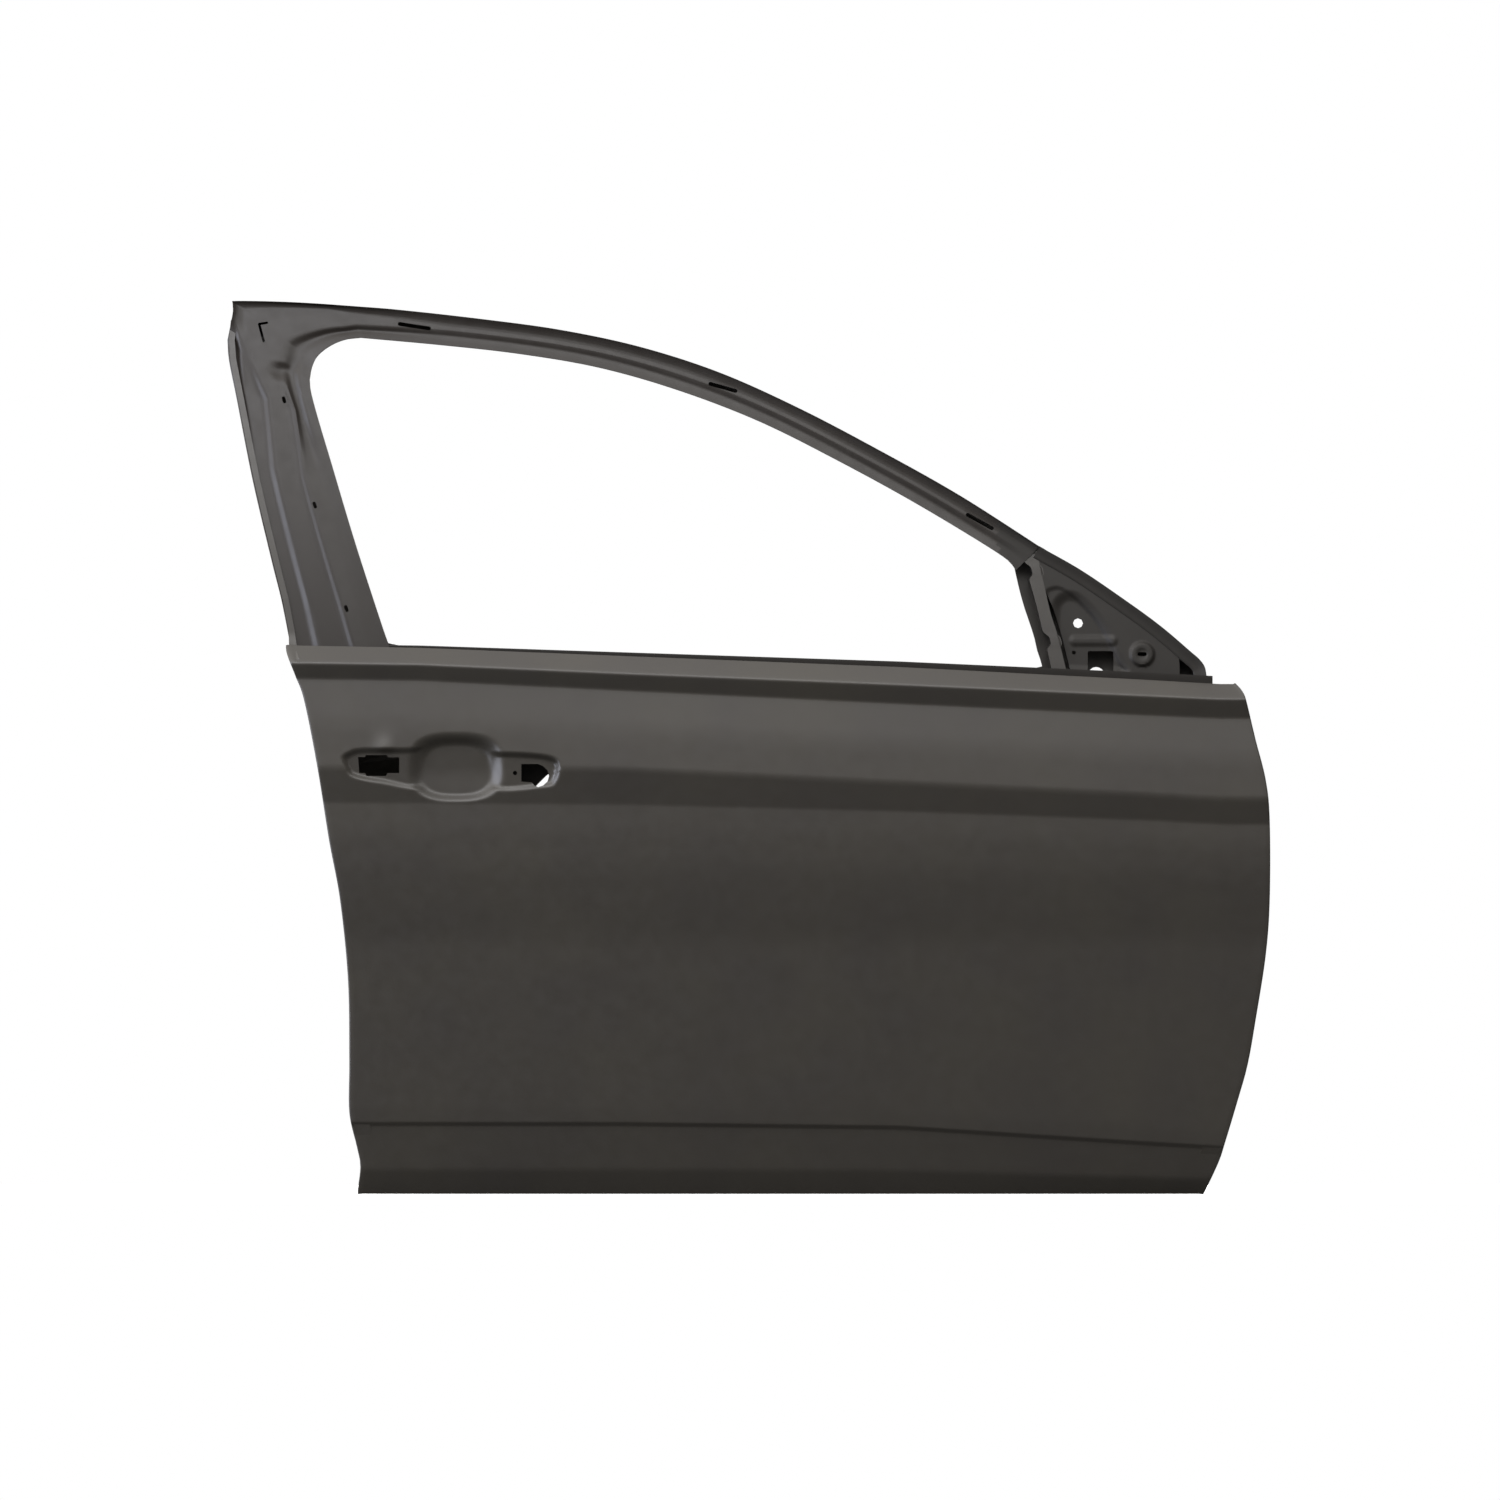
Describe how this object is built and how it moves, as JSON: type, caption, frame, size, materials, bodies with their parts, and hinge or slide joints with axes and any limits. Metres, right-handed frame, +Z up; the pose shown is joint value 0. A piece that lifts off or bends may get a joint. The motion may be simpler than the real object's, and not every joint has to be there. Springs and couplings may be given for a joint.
{
  "type": "car front door shell",
  "caption": "Bare stamped steel front door shell of a saloon car, right-hand side, with window frame, handle recess, mirror corner and inner panel.",
  "frame": {"origin": "on the outer side of the front wall, midway between the two bolts of the upper hinge", "axes": "+X towards the front of the car, +Y inboard towards the cabin, +Z up"},
  "size_m": [1.221, 0.2206, 1.046],
  "materials": {
    "primer": "satin electrocoat primer in dark taupe grey",
    "primer_light": "satin electrocoat primer, thinner and a little lighter",
    "weld_nut": "bare zinc-plated steel",
    "mastic": "dull damping mastic"
  },
  "bodies": {
    "root": {"beam_bracket_front": "primer", "beam_bracket_rear": "primer", "belt_reinforcement_inner": "primer", "belt_reinforcement_outer": "primer", "check_link_reinforcement": "primer", "crash_beam": "primer", "damping_pad_1": "mastic", "damping_pad_2": "mastic", "front_sash": "primer_light", "guide_rail_front": "primer", "guide_rail_rear": "primer", "handle_reinforcement": "primer", "hinge_reinforcement_lower": "primer", "hinge_reinforcement_upper": "primer", "inner_panel": "primer", "latch_reinforcement": "primer", "mirror_reinforcement": "primer", "outer_panel": "primer", "weld_nut_1": "weld_nut", "weld_nut_2": "weld_nut", "weld_nut_3": "weld_nut", "weld_nut_4": "weld_nut", "window_frame_outer": "primer"}
  },
  "joints": []
}
